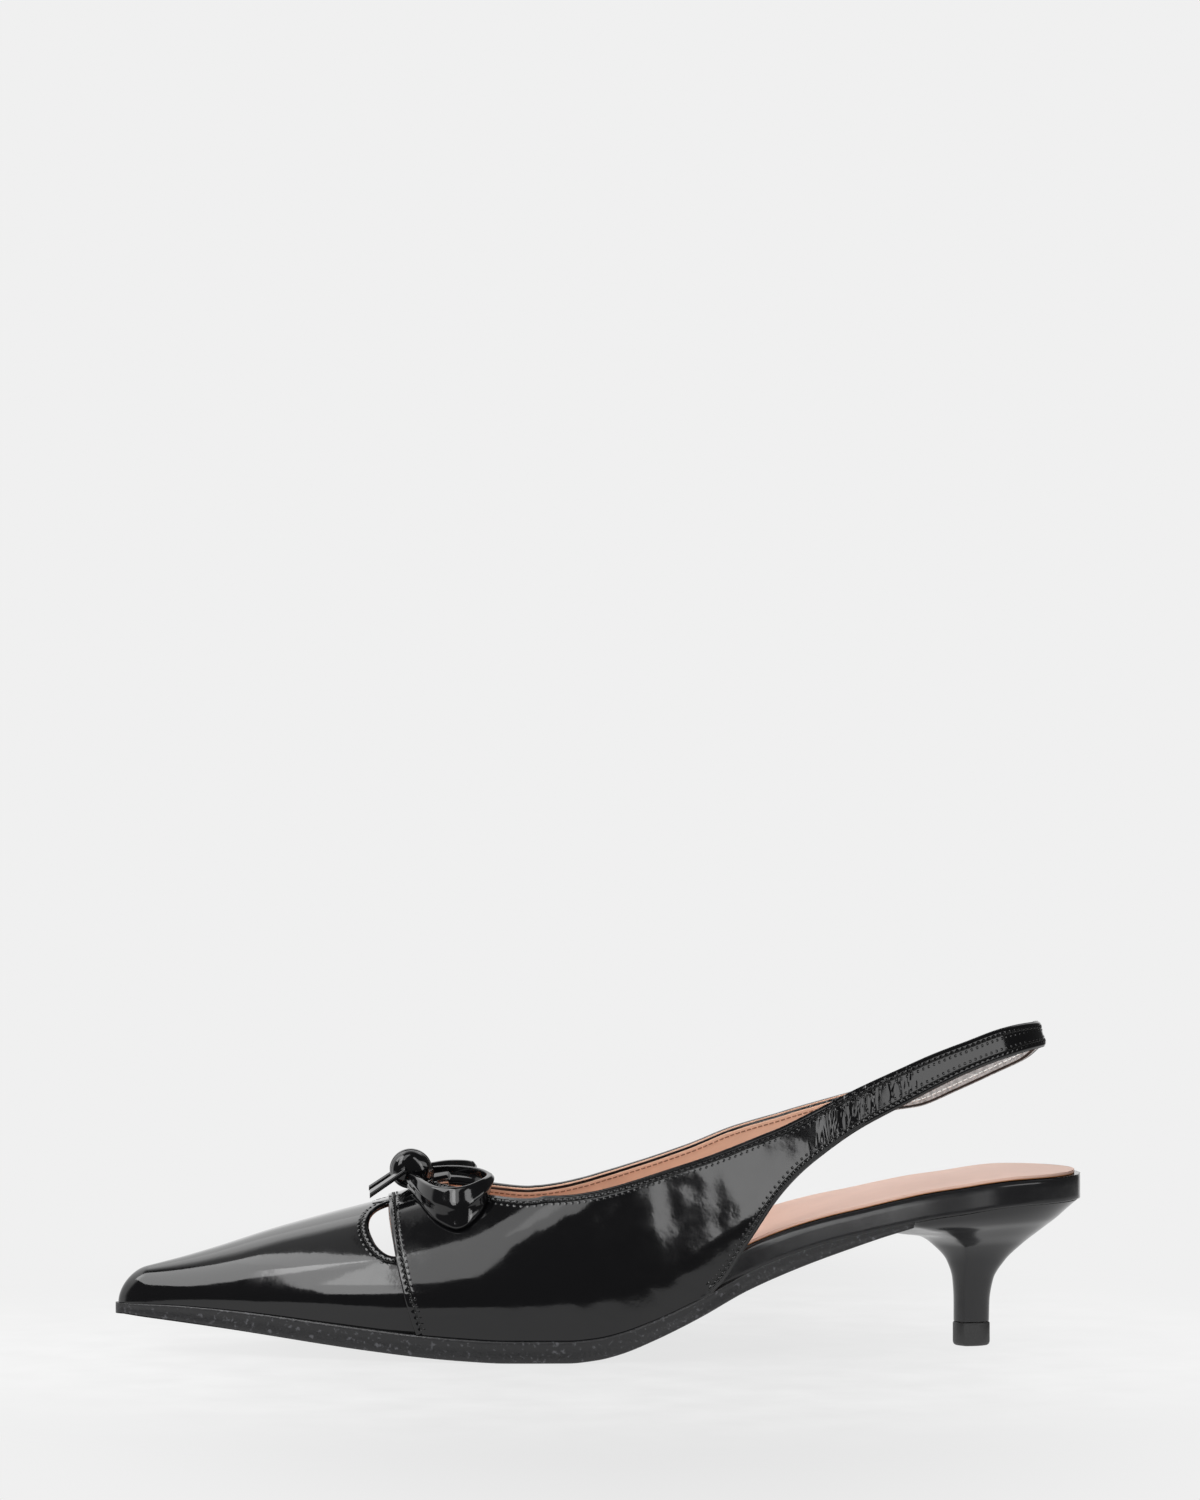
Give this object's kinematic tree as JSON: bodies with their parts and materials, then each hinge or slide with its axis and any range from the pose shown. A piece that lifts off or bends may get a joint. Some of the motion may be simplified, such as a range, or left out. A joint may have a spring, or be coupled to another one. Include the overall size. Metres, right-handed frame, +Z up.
{
  "type": "kitten heel slingback pump",
  "caption": "Left women's slingback pump in black patent: pointed toe cap, side cut-outs, standing bow, low curved kitten heel and a thin dark sole with a covered footbed edge.",
  "frame": {"origin": "on the floor, below the centre of the shoe's bounding box in plan", "axes": "+X from the toe to the heel, +Y to the medial side, +Z up"},
  "size_m": [0.263, 0.0798, 0.0888],
  "materials": {
    "outsole": "dull black",
    "insole_board": "smooth black covering",
    "insole": "smooth pinkish tan",
    "upper": "glossy black patent",
    "heel": "smooth black covering",
    "heel_tip": "dull black",
    "bow_knot": "glossy black patent",
    "bow_loop_lateral": "glossy black patent",
    "bow_loop_medial": "glossy black patent",
    "bow_tail_lateral": "glossy black patent",
    "bow_tail_medial": "glossy black patent"
  },
  "bodies": {
    "root": {"outsole": "outsole", "insole_board": "insole_board", "insole": "insole", "upper": "upper", "heel": "heel", "heel_tip": "heel_tip", "bow_knot": "bow_knot", "bow_loop_lateral": "bow_loop_lateral", "bow_loop_medial": "bow_loop_medial", "bow_tail_lateral": "bow_tail_lateral", "bow_tail_medial": "bow_tail_medial"}
  },
  "joints": []
}
